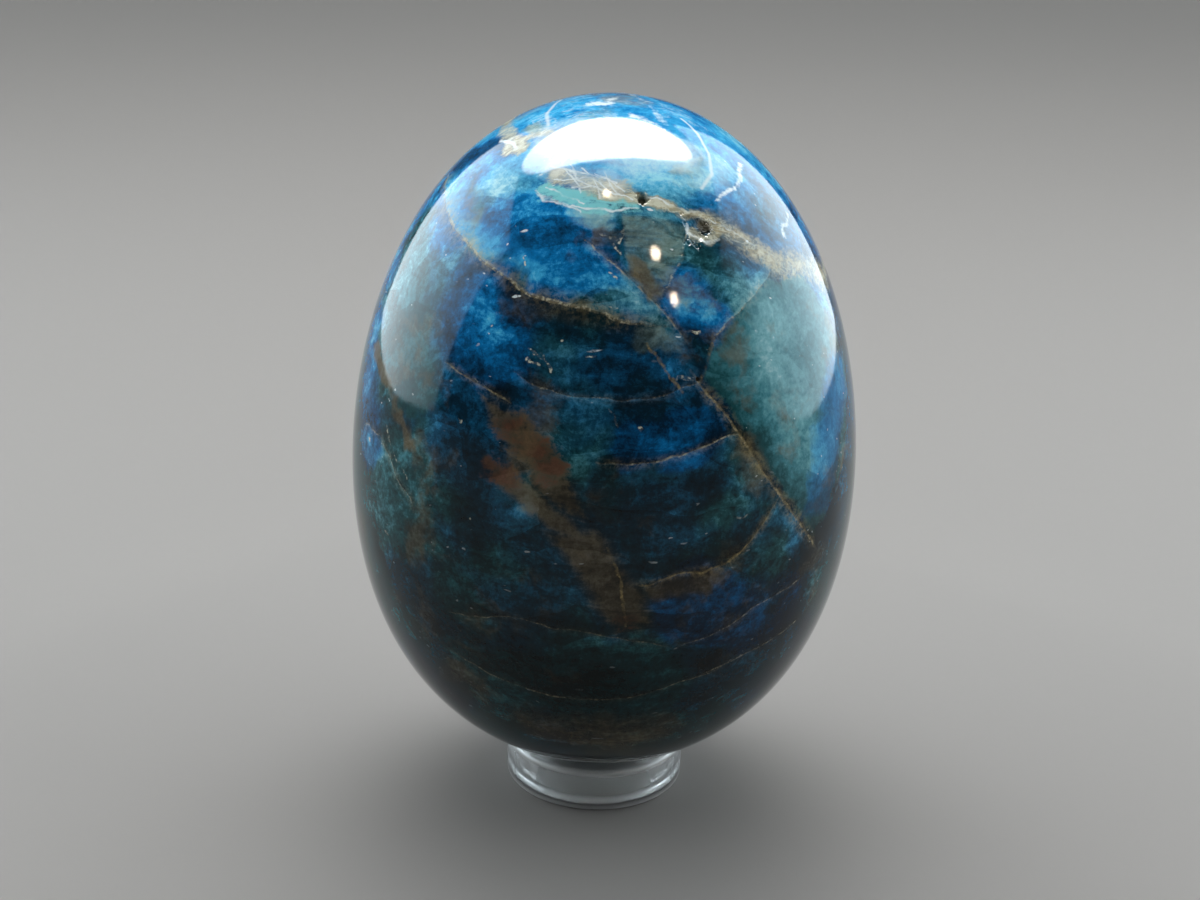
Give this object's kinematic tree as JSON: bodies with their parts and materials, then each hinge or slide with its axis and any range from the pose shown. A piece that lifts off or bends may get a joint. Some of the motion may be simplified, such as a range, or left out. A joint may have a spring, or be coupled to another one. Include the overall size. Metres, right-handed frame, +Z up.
{
  "type": "stone egg on stand",
  "caption": "Polished blue stone egg that stands blunt end down on a short clear ring and lifts straight off.",
  "frame": {"origin": "centre of the ring stand's flat underside, which is also the bottom centre of the whole object", "axes": "+Z up along the common axis of the egg and the ring, from the egg's blunt end to its narrow end; -Y towards the viewer of the picture, +X to the viewer's right"},
  "size_m": [0.052, 0.052, 0.0747],
  "materials": {
    "polished_stone": "polished",
    "clear_acrylic": "polished"
  },
  "bodies": {
    "stand": {"ring_stand": "clear_acrylic"},
    "egg": {"stone_egg": "polished_stone"}
  },
  "joints": [
    {"name": "egg_lift", "type": "slide", "parent": "stand", "child": "egg", "axis": [0, 0, 1], "range_m": [0, 0.04]}
  ]
}
